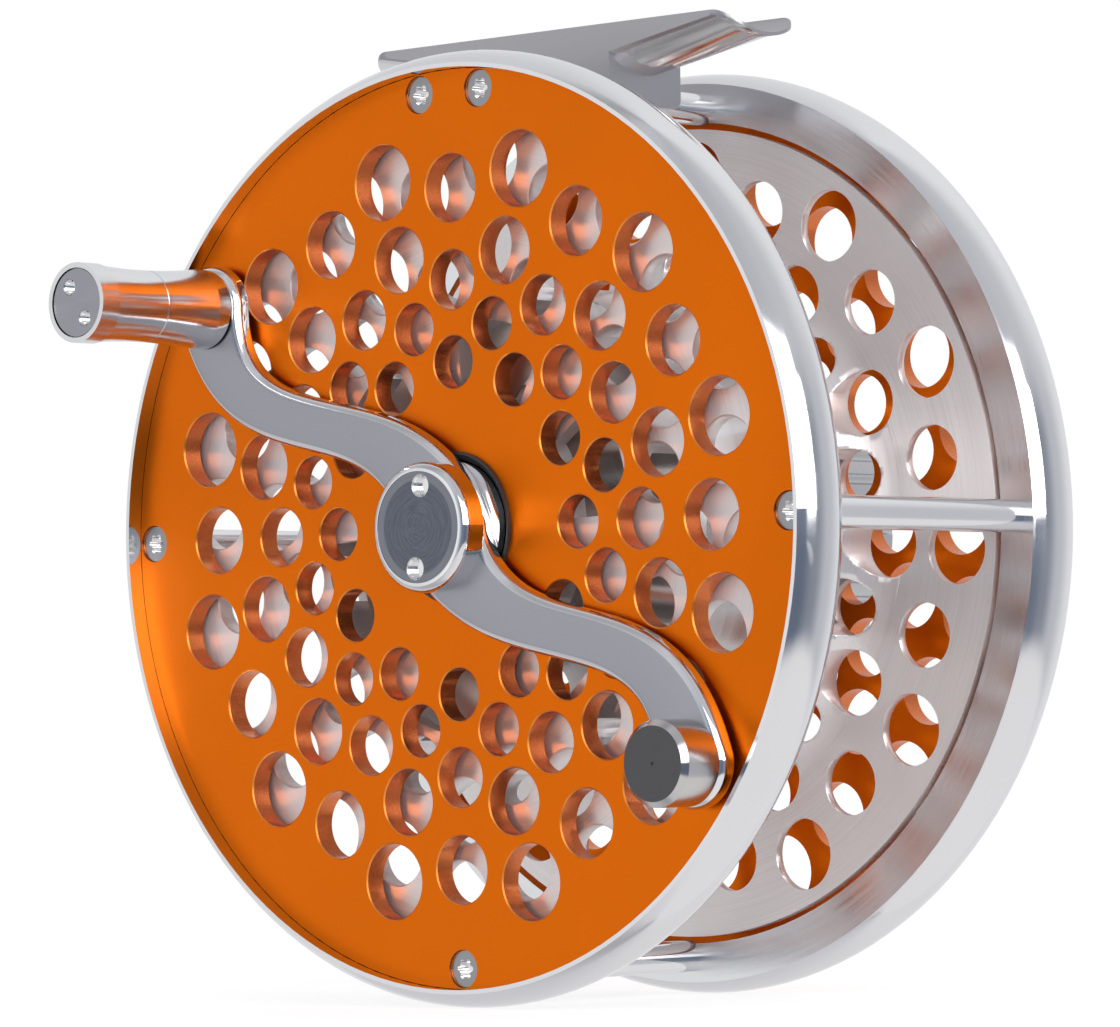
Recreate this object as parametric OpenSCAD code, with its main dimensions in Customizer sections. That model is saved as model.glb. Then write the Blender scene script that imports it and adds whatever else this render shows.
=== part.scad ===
// Caged salmon fly reel: a perforated spool turning between two perforated
// side plates, wound by an S-shaped crank, with a disc drag behind the rear plate.
// Origin: on the spool axis, halfway between the inner faces of the spool's flanges.
// The spool axis is Y, the crank is on the -Y side, the reel foot is up (+Z).

/* [Cage] */
// Outer diameter of the cage rings
ring_d = 110; // [109:0.5:114]
// Twice the distance from the middle of the spool to the front plate's outer face
cage_w = 44; // [44:0.5:46]
// How much further out the rear plate is than the front one
rear_extra = 2.2; // [2.2:0.1:3]
// Thickness of a side plate
plate_t = 2.6; // [2.2:0.1:2.6]
// How far the front ring stands proud of its side plate
lip_h = 2; // [1:0.1:2.4]
// Diameter of a cage pillar
pillar_d = 3.8; // [3.2:0.1:4]
// Distance between the two pillars that carry the foot
foot_pillar_gap = 9.4; // [8:0.2:12]

/* [Spool] */
// Radius of the spool flanges
spool_r = 48.2; // [47.5:0.1:48.4]
// Thickness of the rear spool flange
flange_t = 1.3; // [1:0.1:1.5]
// Thickness of the front spool flange
front_flange_t = 2.1; // [1.3:0.1:2.1]
// Outer radius of the arbor between its flares
arbor_r = 28.3; // [27:0.1:29]
// Radius of the flare between arbor and flange
flare_r = 6.2; // [5:0.1:7]
// Turn of the spool's hole pattern against the plates' pattern, in degrees
spool_phase = 10.5; // [0:0.5:15]

/* [Crank] */
// Distance from the spool axis to the handle axis
crank_reach = 46.5; // [44:0.5:47]
// Direction of the handle from the spool axis, in degrees above +X
crank_angle = 144; // [0:1:359]
// Width of the crank arm at its narrowest
arm_w = 6.3; // [5:0.1:7]
// Thickness of the crank arm
arm_t = 2.4; // [1.8:0.1:2.6]
// Length of the handle barrel
barrel_l = 20.45; // [19:0.05:26]
// Radius of the handle barrel's collar
barrel_r = 4.7; // [4.6:0.05:5.2]

/* [Reel foot] */
// Width of the foot
foot_w = 12.4; // [11:0.1:14]
// Length of the foot from tip to tip
foot_l = 58.4; // [56:0.2:70]
// Height of the foot's long edges above the spool axis
foot_top = 58.4; // [57.8:0.1:60]
// Radius of the rod seat that the foot's saddle fits
saddle_r = 9.2; // [9:0.1:13]

/* [Drag] */
// Radius of the drag knob
drag_knob_r = 19; // [18.4:0.1:20]
// Number of grip flutes round the drag knob
drag_flutes = 40; // [24:1:48]
// Number of teeth on the click gear
click_teeth = 48; // [24:12:60]

/* [Hidden] */
$fn = 96;

SILVER = [0.80, 0.80, 0.82];
BRUSHED = [0.68, 0.68, 0.70];
ORANGE = [0.80, 0.36, 0.05];
STEEL = [0.55, 0.56, 0.58];
DARK = [0.26, 0.28, 0.31];
BLACK = [0.06, 0.06, 0.07];
BRONZE = [0.62, 0.45, 0.22];
CORK = [0.55, 0.38, 0.22];

run = 0.03;                          // radial running clearance
ring_r = ring_d / 2;
half_w = cage_w / 2;                 // outer face of a plate
plate_in = half_w - plate_t;         // inner face of the front plate
rear_out = half_w + rear_extra;      // outer face of the rear plate
rear_in = rear_out - plate_t;        // inner face of the rear plate
seat_r = ring_r - 2.15;              // plate's seat in the ring
seat_gap = 0.05;                     // plate to ring, radial
rim_curve = 5.2;                     // radius of the front ring's rounded outside
rim_mid = half_w - 1.8;              // where the front ring is widest
rear_curve = 5.6;
rear_mid = half_w - 1.65;
rear_lip = 0.4;
rim_in = half_w - 5.3;               // rings' faces towards the spool
ring_bore = spool_r + 0.8;
pillar_ring = ring_r - 4.5;          // radius on which the pillars stand
pillar_angles = [0, 180, 270];
foot_pillar_z = sqrt(pow(pillar_ring, 2) - pow(foot_pillar_gap / 2, 2));

screw_r = 1.25;                      // M2.5
screw_hole_r = 1.3;
screw_head_r = 2.1;
screw_head_h = 1.2;
screw_sink = 0.35;                   // depth of the head below the plate's face
screw_gap = 0.1;                     // radial gap round the head
screw_end = 13;                      // distance of the screw's end from the spool's middle
lobe_r = 0.32;                       // six-lobe drive
lobe_ring = 0.92;
drive_depth = 0.9;

// Rows of holes: [radius of the row, angle of its first hole, hole radius]
plate_rows = [[42, 15, 4.4], [39.2, 0, 3.95], [32.5, 15, 3.85], [28.6, 0, 3.45],
    [24, 15, 3.05], [19.1, 0, 3.05]];
spool_rows = [[42.5, 15, 4.2], [39.6, 0, 3.8], [32.6, 15, 3.9], [28.8, 0, 3.4]];
holes_per_row = 12;
hole_chamfer = 0.15;

// Central bosses of the plates and the two bearings (8 x 16 x 5)
boss_r = 11;
seal_r = 8.8;
bearing_r = 8;
bearing_bore = 4;
bearing_w = 5;
bearing_in = plate_in - 0.6;         // bearing's face towards the plate
ball_r = 1.15;
ball_ring = 6;
ball_count = 9;
race_gap = 0.02;
rear_bore_r = 5.6;

shaft_r = bearing_bore - 0.01;
hub_r = 14;
hub_half = bearing_in - bearing_w - 0.3;
cup_in_r = boss_r + 0.8;
flange_in = rim_in;                  // spool flanges are flush with the rings' inner faces
flange_out = flange_in + flange_t;
front_out = flange_in + front_flange_t;
arbor_t = 1.4;
arbor_half = flange_in - flare_r;
window_count = 6;
window_angle = 34;
window_in = hub_r + 1.6;
window_out = arbor_r - 4.2;
window_phase = 19;

arm_front = -half_w - 3.2;
arm_back = arm_front + arm_t;
key_w = 5.4;                         // square drive between spindle and crank
collar_r = 7.7;
crank_boss_r = 7.5;
crank_boss_h = 3.1;
crank_round = 1.05;
nut_r = 6.4;
nut_thread_r = 3;
nut_hole_r = 1.05;
nut_hole_ring = 4.75;
nut_hole_angle = 84;
handle_x = crank_reach * cos(crank_angle);
handle_z = crank_reach * sin(crank_angle);
arm_end_w = 5.2;
arm_hub_w = 6.8;
pin_r = 2;
pin_flange_r = 3.4;
pin_flange_h = 0.25;
barrel_back = arm_front - pin_flange_h - 0.05;
barrel_front = barrel_back - barrel_l;
collar_l = 2.7;                      // plain collar at the barrel's outer end
step_h = 0.15;                       // step from the collar down to the waist
waist_h = 0.32;                      // depth of the waist below the step
waist_place = 0.41;                  // narrowest point, as a part of the waisted length
line_place = 0.46;                   // turned line, as a part of the waisted length
line_depth = 0.06;
line_w = 0.14;
cap_r = 4.1;                         // recess of the end cap
cap_gap = 0.15;
cap_h = 1.45;
cap_hole_r = 0.7;
cap_hole_ring = 2.25;
cap_hole_angle = 124;
head_well_r = 3.2;                   // well for the head of the handle's screw
head_well = 4.05;
bush_r = 3;
bush_l = 4;
weight_r = 4.85;
weight_l = 5.5;

pedestal_l = 21.4;
blade_shift = 0.5;                   // blades are a little off centre along X
pedestal_bottom = foot_pillar_z - 1.2;
foot_edge = foot_top - 3.2;          // where the blade's underside meets the pedestal
blade_corner = 3.2;
blade_min = 0.4;                     // thickness of the blade at its tips
sagitta = saddle_r - sqrt(pow(saddle_r, 2) - pow(foot_w / 2, 2));
saddle_z = foot_top - sagitta;       // bottom of the saddle

click_r = 16.2;
click_tooth = 0.9;
click_t = 0.8;
pawl_angle = 45;
pawl_ring = 18.9;
post_r = 0.9;
pawl_r = 1.7;

housing_r = 16.8;
housing_wall = 1.6;
housing_floor = 1.4;
housing_h = 7.3;
housing_screw_ring = 11;
housing_screw_angle = 30;
washer_r = 14.6;
washer_in_r = 7.8;
washer_t = 1;
brake_t = 1.2;
clutch_r = 7.4;
inner_washer_y = rear_out + housing_floor;
brake_y = inner_washer_y + washer_t + 0.02;
outer_washer_y = brake_y + brake_t + 0.02;
pressure_y = outer_washer_y + washer_t;
pressure_t = 1.2;
lug_count = 3;
lug_w = 4;
spring_y = pressure_y + pressure_t;
spring_rise = 1.5;
knob_face = rear_out + 10.2;
knob_inside = spring_y + spring_rise + 0.05;
knob_skirt = rear_out + 0.6;

// ---- helpers -------------------------------------------------------------

// A cylinder along Y from y0 to y1
module rod(r, y0, y1) {
    translate([0, y0, 0]) rotate([-90, 0, 0]) cylinder(r = r, h = y1 - y0);
}

// A cone along Y, radius r0 at y0 and r1 at y1
module taper(r0, r1, y0, y1) {
    translate([0, y0, 0]) rotate([-90, 0, 0]) cylinder(r1 = r0, r2 = r1, h = y1 - y0);
}

// A tube along Y
module tube(r_in, r_out, y0, y1) {
    difference() {
        rod(r_out, y0, y1);
        rod(r_in, y0 - 1, y1 + 1);
    }
}

// An outline drawn in X and Z, standing from y0 to y1
module slab(y0, y1) {
    translate([0, y1, 0]) rotate([90, 0, 0]) linear_extrude(y1 - y0) children();
}

// A profile drawn as (radius, y), turned round the Y axis
module turned() {
    rotate([-90, 0, 0]) rotate_extrude() children();
}

// Moves a child to a radius and an angle above +X in the X-Z plane
module at(r, a) {
    translate([r * cos(a), 0, r * sin(a)]) children();
}

// Mirrors the front half of the reel to the rear
module to_rear() {
    mirror([0, 1, 0]) children();
}

// Drills every hole of some rows, with a chamfer at the face y0
module drill_rows(rows, phase, y0, y1) {
    for (row = rows)
        for (k = [0 : holes_per_row - 1])
            at(row[0], row[1] + phase + k * 360 / holes_per_row) {
                rod(row[2], y0 - 1, y1 + 1);
                taper(row[2] + 2 * hole_chamfer, row[2], y0 - hole_chamfer, y0 + hole_chamfer);
            }
}

// Places a child at each pillar that carries a plate screw
module at_pillars() {
    for (a = pillar_angles)
        at(pillar_ring, a) children();
    for (s = [-1, 1])
        translate([s * foot_pillar_gap / 2, 0, foot_pillar_z]) children();
}

// ---- cage ----------------------------------------------------------------

// Cage ring, seen as the front one, with its seat for a plate whose inner face is at `inner`
module ring(curve, mid, lip_y, inner) {
    difference() {
        turned() intersection() {
            translate([ring_r - curve, -mid]) circle(r = curve);
            translate([ring_bore, -lip_y]) square([ring_r - ring_bore + 1, lip_y - rim_in]);
        }
        rod(seat_r, -lip_y - 1, -inner);
        at_pillars() rod(screw_hole_r, -inner - 1, -rim_in + 1);
    }
}

module front_ring() {
    color(SILVER) ring(rim_curve, rim_mid, half_w + lip_h, plate_in);
}

module rear_ring() {
    color(SILVER) to_rear() ring(rear_curve, rear_mid, rear_out + rear_lip, rear_in);
}

// A drilled side plate with its bearing boss, seen as the front one
module plate(bore_r, face, inner) {
    difference() {
        union() {
            rod(seat_r - seat_gap, -face, -inner);
            rod(boss_r, -inner, -bearing_in + bearing_w);
        }
        rod(bore_r, -face - 1, -inner);
        rod(bearing_r - 0.8, -inner - 0.1, -bearing_in);
        rod(bearing_r, -bearing_in, -bearing_in + bearing_w + 1);
        drill_rows(plate_rows, 0, -face, -inner);
        at_pillars() {
            rod(screw_hole_r, -face - 1, -inner + 1);
            rod(screw_head_r + screw_gap, -face - 1, -face + screw_sink);
            taper(screw_head_r + screw_gap, screw_hole_r, -face + screw_sink - 0.01,
                -face + screw_sink + screw_head_h);
        }
    }
}

module front_plate() {
    color(ORANGE) plate(seal_r, half_w, plate_in);
}

module rear_plate() {
    color(ORANGE) difference() {
        to_rear() plate(rear_bore_r, rear_out, rear_in);
        at(pawl_ring, pawl_angle) rod(post_r, rear_in - 1, rear_in + 1.2);
        at_housing_screws() rod(screw_hole_r, rear_in + 0.3, rear_out + 1);
    }
}

// One pillar between the rings, threaded at both ends
module pillar() {
    difference() {
        rod(pillar_d / 2, -rim_in, rim_in);
        for (s = [-1, 1]) translate([0, s * rim_in, 0]) rod(screw_hole_r, -5, 5);
    }
}

module cage_pillars() {
    color(SILVER) for (a = pillar_angles) at(pillar_ring, a) pillar();
}

module foot_pillars() {
    color(SILVER)
        for (s = [-1, 1]) translate([s * foot_pillar_gap / 2, 0, foot_pillar_z]) pillar();
}

// Six-lobe recess from y0 to y1
module six_lobe(y0, y1) {
    slab(y0, y1) {
        circle(r = lobe_ring);
        for (k = [0 : 5])
            rotate(k * 60) translate([lobe_ring, 0]) circle(r = lobe_r);
    }
}

// One countersunk screw, its head just below the front face of a plate
module plate_screw(face) {
    head = -face + screw_sink;
    difference() {
        union() {
            taper(screw_head_r, screw_r, head, head + screw_head_h - 0.1);
            rod(screw_r, head + screw_head_h - 0.2, -screw_end);
        }
        six_lobe(head - 1, head + drive_depth);
    }
}

module front_plate_screws() {
    color(STEEL) at_pillars() plate_screw(half_w);
}

module rear_plate_screws() {
    color(STEEL) to_rear() at_pillars() plate_screw(rear_out);
}

// ---- reel foot -----------------------------------------------------------

// Plan of the foot: straight sides and broad, round-cornered ends
module foot_plan() {
    corner_x = foot_l / 2 - blade_corner;
    corner_y = foot_w / 2 - blade_corner;
    square([2 * corner_x, foot_w], center = true);
    square([foot_l, 2 * corner_y], center = true);
    for (x = [-corner_x, corner_x])
        for (y = [-corner_y, corner_y])
            translate([x, y]) circle(r = blade_corner);
}

// A round bar along X whose top surface is cut away by the saddle
module seat_bar(r, z, x0, x1) {
    translate([x0, 0, z]) rotate([0, 90, 0]) cylinder(r = r, h = x1 - x0);
}

module reel_foot() {
    under = atan2(foot_top - foot_edge - blade_min, foot_l / 2 - 2 - pedestal_l / 2);
    color(BRUSHED) difference() {
        union() {
            intersection() {
                translate([blade_shift, 0, foot_edge - 5])
                    linear_extrude(foot_top - foot_edge + 6) foot_plan();
                union() {
                    seat_bar(saddle_r + blade_min, foot_top - sagitta + saddle_r, -foot_l, foot_l);
                    for (s = [0, 1]) mirror([s, 0, 0])
                        translate([pedestal_l / 2, 0, foot_edge - sagitta + saddle_r])
                            rotate([0, -under, 0]) seat_bar(saddle_r, 0, -pedestal_l, foot_l);
                }
            }
            translate([0, 0, pedestal_bottom]) pedestal();
        }
        seat_bar(saddle_r, saddle_z + saddle_r, -foot_l, foot_l);
        for (s = [-1, 1]) translate([s * foot_pillar_gap / 2, 0, 0]) {
            translate([0, 0, foot_pillar_z]) rod(pillar_d / 2 + 0.02, -foot_w, foot_w);
            translate([0, 0, foot_pillar_z]) cylinder(r = 1.5, h = 20);
        }
    }
}

// The block under the blade, with its two lower long corners rounded
module pedestal() {
    corner = 1.3;
    height = foot_edge + 0.6 - pedestal_bottom;
    rotate([90, 0, 90]) translate([0, 0, -pedestal_l / 2]) linear_extrude(pedestal_l) {
        translate([-foot_w / 2, corner]) square([foot_w, height - corner]);
        translate([-foot_w / 2 + corner, 0]) square([foot_w - 2 * corner, corner + 0.1]);
        for (s = [-1, 1]) translate([s * (foot_w / 2 - corner), corner]) circle(r = corner);
    }
}

// Two grub screws that clamp the foot on its pillars
module foot_set_screws() {
    grub_r = 1.48;
    grub_l = 3;
    color(DARK) for (s = [-1, 1])
        translate([s * foot_pillar_gap / 2, 0, foot_pillar_z + pillar_d / 2 + 0.01]) difference() {
            cylinder(r = grub_r, h = grub_l);
            translate([0, 0, grub_l - 1.4]) cylinder(r = 0.85, h = 2, $fn = 6);
        }
}

// ---- bearings ------------------------------------------------------------

module groove_cut(y_mid) {
    turned() translate([ball_ring, y_mid]) circle(r = ball_r + race_gap);
}

module bearing_outer(y0) {
    color(STEEL) difference() {
        tube(ball_ring + 0.7, bearing_r - 0.01, y0, y0 + bearing_w);
        groove_cut(y0 + bearing_w / 2);
    }
}

module bearing_inner(y0) {
    color(STEEL) difference() {
        tube(bearing_bore, ball_ring - 0.7, y0, y0 + bearing_w);
        groove_cut(y0 + bearing_w / 2);
    }
}

module bearing_balls(y0) {
    color(SILVER) for (k = [0 : ball_count - 1])
        at(ball_ring, k * 360 / ball_count) translate([0, y0 + bearing_w / 2, 0]) sphere(r = ball_r);
}

module front_bearing_outer() { bearing_outer(-bearing_in); }
module front_bearing_inner() { bearing_inner(-bearing_in); }
module front_bearing_balls() { bearing_balls(-bearing_in); }
module rear_bearing_outer() { bearing_outer(bearing_in - bearing_w); }
module rear_bearing_inner() { bearing_inner(bearing_in - bearing_w); }
module rear_bearing_balls() { bearing_balls(bearing_in - bearing_w); }

// Black seal ring round the crank's collar
module front_seal() {
    color(BLACK) difference() {
        tube(collar_r + 0.1, seal_r - 0.02, -half_w - 0.5, -plate_in - 0.02);
        taper(collar_r + 0.9, collar_r + 0.1, -half_w - 0.6, -half_w + 0.2);
    }
}

// ---- spool ---------------------------------------------------------------

module spindle() {
    color(STEEL) {
        rod(shaft_r, arm_back + 0.01, pressure_y - 0.2);
        translate([0, arm_front + arm_t, 0]) cube([key_w, 2 * arm_t, key_w], center = true);
        rod(nut_thread_r - 0.02, arm_front - crank_boss_h + 0.9, arm_front);
        rod(key_w / 2 - 0.1, arm_front - 1, arm_front + 1);
    }
}

// Hub with a cup at each end that reaches round the plate's bearing boss
module spool_hub() {
    color(BRUSHED) difference() {
        rod(hub_r, -front_out, flange_out);
        rod(bearing_bore, -half_w, half_w);
        for (s = [0, 1]) mirror([0, s, 0]) {
            rod(cup_in_r, hub_half, half_w);
            taper(cup_in_r - 1.2, cup_in_r, hub_half - 0.6, hub_half + 0.02);
        }
    }
}

// Outline of one lightening window, between two radii and two angles
function arc_points(r, a0, a1, n) = [for (i = [0 : n]) r * [cos(a0 + (a1 - a0) * i / n),
    sin(a0 + (a1 - a0) * i / n)]];

module window_outline() {
    polygon(concat(arc_points(window_in, -window_angle / 2, window_angle / 2, 8),
        arc_points(window_out, window_angle / 2, -window_angle / 2, 12)));
}

// A flange of the spool, seen as the front one, with its trumpet flare down to the arbor
module flange(outer) {
    wall = arbor_r - arbor_t;
    difference() {
        union() {
            tube(hub_r, spool_r, -outer, -flange_in);
            turned() difference() {
                translate([wall, -flange_in]) square([arbor_t + flare_r, flare_r]);
                translate([arbor_r + flare_r, -arbor_half]) circle(r = flare_r);
            }
        }
        drill_rows(spool_rows, spool_phase, -outer, -arbor_half);
        for (k = [0 : window_count - 1]) rotate([0, -(window_phase + k * 360 / window_count), 0])
            slab(-outer - 1, -flange_in + 1) window_outline();
    }
}

module spool_front_flange() {
    color(BRUSHED) flange(front_out);
}

module spool_rear_flange() {
    color(BRUSHED) to_rear() flange(flange_out);
}

module spool_arbor() {
    color(BRUSHED) tube(arbor_r - arbor_t, arbor_r, -arbor_half, arbor_half);
}

// ---- crank ---------------------------------------------------------------

module crank_collar() {
    color(SILVER) {
        tube(bearing_bore, collar_r, arm_back, -plate_in - 0.2);
        tube(bearing_bore, ball_ring - 0.8, -plate_in - 0.21, -bearing_in);
    }
}

// Centre line of half of the arm: a cubic curve from the hub to the handle
arm_curve = [[0, 0], [-8, 19], [-34, 6], [-37.6, 27.3]];
arm_drawn_at = 144;                  // direction of the curve's end
function curve(p, t) = pow(1 - t, 3) * p[0] + 3 * t * pow(1 - t, 2) * p[1]
    + 3 * t * t * (1 - t) * p[2] + pow(t, 3) * p[3];
function along(p, t) = pow(1 - t, 2) * (p[1] - p[0]) + 2 * t * (1 - t) * (p[2] - p[1])
    + t * t * (p[3] - p[2]);
function half_width(t) = arm_w / 2 + (t < 0.5 ? (arm_hub_w - arm_w / 2) * pow(1 - 2 * t, 2.4)
    : (arm_end_w - arm_w / 2) * pow(2 * t - 1, 2.4));
function arm_side(t, s) = curve(arm_curve, t)
    + s * half_width(t) * [-along(arm_curve, t)[1], along(arm_curve, t)[0]] / norm(along(arm_curve, t));
arm_steps = 28;

end_steps = 14;
end_dir = atan2(-along(arm_curve, 1)[0], along(arm_curve, 1)[1]);

// From the hub out along one side of the arm, round its end and back to the hub
function half_arm() = concat([for (i = [1 : arm_steps]) arm_side(i / arm_steps, -1)],
    [for (i = [1 : end_steps - 1])
        arm_curve[3] + arm_end_w * [cos(end_dir + 180 * i / end_steps), sin(end_dir + 180 * i / end_steps)]],
    [for (i = [arm_steps : -1 : 1]) arm_side(i / arm_steps, 1)]);

module crank_arm() {
    turn = crank_angle - arm_drawn_at;
    color(SILVER) rotate([0, -turn, 0]) difference() {
        slab(arm_front, arm_back) polygon(concat(half_arm(), -1 * half_arm()));
        cube([key_w + 0.02, 100, key_w + 0.02], center = true);
        for (s = [0, 1]) rotate([0, s * 180, 0])
            at(crank_reach, arm_drawn_at) rod(pin_r, arm_front - 1, arm_back + 1);
    }
}

// Polished boss on the arm, with a rounded outer edge
module crank_boss() {
    front = arm_front - crank_boss_h;
    color(SILVER) difference() {
        union() {
            rod(crank_boss_r, front + crank_round, arm_front);
            rod(crank_boss_r - crank_round, front, arm_front);
            turned() translate([crank_boss_r - crank_round, front + crank_round])
                circle(r = crank_round);
        }
        rod(nut_r, front - 1, front + crank_boss_h - 1);
        rod(nut_thread_r + 0.6, front, arm_front + 1);
    }
}

module crank_nut() {
    front = arm_front - crank_boss_h;
    color(DARK) difference() {
        rod(nut_r - 0.03, front + 0.05, arm_front - 1);
        rod(nut_thread_r, arm_front - crank_boss_h + 0.8, arm_front);
        for (s = [-1, 1]) at(s * nut_hole_ring, nut_hole_angle) spanner_hole(nut_hole_r, front + 0.05);
    }
}

// A drilled hole with a wide chamfer at the face y0
module spanner_hole(r, y0) {
    chamfer = 0.3;
    rod(r, y0 - 1, y0 + 0.9);
    taper(r + 2 * chamfer, r, y0 - chamfer, y0 + chamfer);
}

module counterweight() {
    front = arm_front - weight_l;
    chamfer = 0.65;
    centre_r = 0.22;                     // centre mark left by turning
    color(STEEL) at(-crank_reach, crank_angle) difference() {
        union() {
            taper(weight_r - chamfer, weight_r, front, front + chamfer);
            rod(weight_r, front + chamfer, arm_front);
            rod(pin_r - 0.01, arm_front - 0.1, arm_back);
        }
        rod(centre_r, front - 1, front + 0.3);
    }
}

// ---- handle --------------------------------------------------------------

module handle_pin() {
    color(STEEL) at(crank_reach, crank_angle) difference() {
        union() {
            rod(pin_r - 0.01, arm_front - 0.1, arm_back);
            rod(pin_flange_r, arm_front - pin_flange_h, arm_front);
            rod(pin_r, barrel_front + 4, arm_front);
        }
        rod(0.9, barrel_front, barrel_front + 9);
    }
}

module handle_screw() {
    head_y = barrel_front + 2.6;
    color(STEEL) at(crank_reach, crank_angle) difference() {
        union() {
            rod(2.7, head_y, barrel_front + 4);
            rod(0.88, head_y, barrel_front + 8.5);
        }
        six_lobe(head_y - 1, head_y + 0.8);
    }
}

// Waisted barrel with a plain collar at its outer end and one fine turned line
module handle_barrel() {
    waist_l = barrel_l - collar_l;
    waist_r = barrel_r - step_h - waist_h;
    hollow = pow(waist_place * waist_l, 2) / (2 * waist_h);
    color(SILVER) at(crank_reach, crank_angle) difference() {
        turned() difference() {
            translate([0, barrel_front]) square([barrel_r, barrel_l]);
            intersection() {
                translate([waist_r + hollow, barrel_front + collar_l + waist_place * waist_l])
                    circle(r = hollow, $fn = 360);
                translate([0, barrel_front + collar_l]) square([2 * barrel_r, barrel_l]);
            }
            translate([waist_r - line_depth, barrel_front + collar_l + line_place * waist_l])
                square([1, line_w]);
        }
        rod(cap_r, barrel_front - 1, barrel_front + cap_gap + cap_h);
        rod(head_well_r, barrel_front, barrel_front + head_well);
        rod(bush_r, barrel_front, barrel_back + 1);
    }
}

module handle_bushes() {
    color(BRONZE) at(crank_reach, crank_angle) {
        tube(pin_r + run, bush_r - 0.01, barrel_front + 4.06, barrel_front + 4.06 + bush_l);
        tube(pin_r + run, bush_r - 0.01, barrel_back - bush_l, barrel_back);
    }
}

// End cap with two spanner holes
module handle_cap() {
    color(BRUSHED) at(crank_reach, crank_angle) difference() {
        rod(cap_r - cap_gap, barrel_front + cap_gap, barrel_front + cap_gap + cap_h);
        for (s = [-1, 1]) at(s * cap_hole_ring, cap_hole_angle)
            spanner_hole(cap_hole_r, barrel_front + cap_gap);
    }
}

// ---- click ---------------------------------------------------------------

module click_gear() {
    pitch = 360 / click_teeth;
    root = click_r - click_tooth;
    color(STEEL) difference() {
        slab(flange_out, flange_out + click_t)
            polygon([for (k = [0 : click_teeth - 1]) for (p = [[root, 0], [root, 0.35], [click_r, 0.65]])
                p[0] * [cos(pawl_angle + (k + p[1] - 0.17) * pitch), sin(pawl_angle + (k + p[1] - 0.17) * pitch)]]);
        rod(cup_in_r, flange_out - 1, flange_out + click_t + 1);
    }
}

// A small disc on the post, its nose lifted to the height of the passing teeth
module click_pawl() {
    nose = click_r + 0.05;
    color(STEEL) difference() {
        union() {
            at(pawl_ring, pawl_angle) rod(pawl_r, flange_out + 0.15, flange_out + 0.75);
            slab(flange_out + 0.15, flange_out + 0.75) rotate(pawl_angle)
                polygon([[nose, -0.12], [nose, 0.12], [pawl_ring - 1.3, 0.9], [pawl_ring - 1.3, -0.9]]);
        }
        at(pawl_ring, pawl_angle) rod(post_r + run, flange_out, rear_in);
    }
}

module click_post() {
    color(STEEL) at(pawl_ring, pawl_angle) {
        rod(post_r - 0.01, flange_out + 0.15, rear_in + 1.1);
        rod(pawl_r, flange_out + 0.8, rear_in);
    }
}

// Leaf spring that centres the pawl, on a small foot under the rear plate
module click_spring() {
    color(STEEL) rotate([0, -pawl_angle, 0]) {
        translate([pawl_ring + 1.75, flange_out + 0.2, -5]) cube([0.25, 0.5, 7]);
        translate([pawl_ring + 0.9, flange_out + 0.2, -6]) cube([2, rear_in - flange_out - 0.2, 1.2]);
    }
}

// ---- drag ----------------------------------------------------------------

module lugs(reach, w, y0, y1) {
    for (k = [0 : lug_count - 1]) rotate([0, k * 360 / lug_count, 0])
        translate([washer_r - 1, y0, -w / 2]) cube([reach - washer_r + 1, y1 - y0, w]);
}

module at_housing_screws() {
    for (k = [0 : 2]) at(housing_screw_ring, housing_screw_angle + k * 120) children();
}

module drag_housing() {
    color(BRUSHED) difference() {
        rod(housing_r, rear_out, rear_out + housing_h);
        rod(rear_bore_r, rear_out - 1, rear_out + housing_h);
        rod(housing_r - housing_wall, rear_out + housing_floor, rear_out + housing_h + 1);
        lugs(housing_r + 1, lug_w + 0.1, pressure_y, rear_out + housing_h + 1);
        at_housing_screws() {
            rod(screw_hole_r, rear_out - 1, rear_out + 3);
            taper(screw_hole_r, screw_head_r + 0.1, rear_out + 0.4, rear_out + housing_floor + 0.01);
        }
    }
}

module drag_housing_screws() {
    color(STEEL) at_housing_screws() difference() {
        union() {
            rod(screw_r, rear_in + 0.35, rear_out + 0.6);
            taper(screw_r, screw_head_r, rear_out + 0.45, rear_out + housing_floor - 0.02);
        }
        slab(rear_out + housing_floor - 0.7, rear_out + housing_floor + 1) circle(r = lobe_ring, $fn = 6);
    }
}

module drag_inner_washer() {
    color(CORK) tube(washer_in_r, washer_r, inner_washer_y, inner_washer_y + washer_t);
}

module brake_disc() {
    color(STEEL) tube(clutch_r, washer_r, brake_y, brake_y + brake_t);
}

module one_way_clutch() {
    color(STEEL) tube(bearing_bore, clutch_r, brake_y - 0.8, pressure_y - 0.2);
}

module drag_outer_washer() {
    color(CORK) tube(washer_in_r, washer_r, outer_washer_y, outer_washer_y + washer_t);
}

module pressure_plate() {
    color(STEEL) difference() {
        union() {
            rod(washer_r, pressure_y, pressure_y + pressure_t);
            lugs(housing_r - 0.5, lug_w, pressure_y, pressure_y + pressure_t);
        }
        rod(5, pressure_y - 1, pressure_y + pressure_t + 1);
    }
}

// Conical spring washer between the pressure plate and the knob
module drag_spring() {
    color(STEEL) turned() polygon([[12.5, spring_y], [12.5, spring_y + 0.6],
        [7, spring_y + spring_rise], [7, spring_y + spring_rise - 0.6]]);
}

module drag_knob() {
    color(BRUSHED) difference() {
        union() {
            rod(drag_knob_r, knob_skirt, knob_face - 1);
            taper(drag_knob_r, drag_knob_r - 1, knob_face - 1, knob_face);
        }
        rod(housing_r + 0.05, knob_skirt - 1, knob_inside);
        for (k = [0 : drag_flutes - 1]) at(drag_knob_r + 0.25, k * 360 / drag_flutes)
            rod(0.75, knob_skirt - 1, knob_face + 1);
        rod(drag_knob_r - 5, knob_face - 0.8, knob_face + 1);
    }
}

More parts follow.
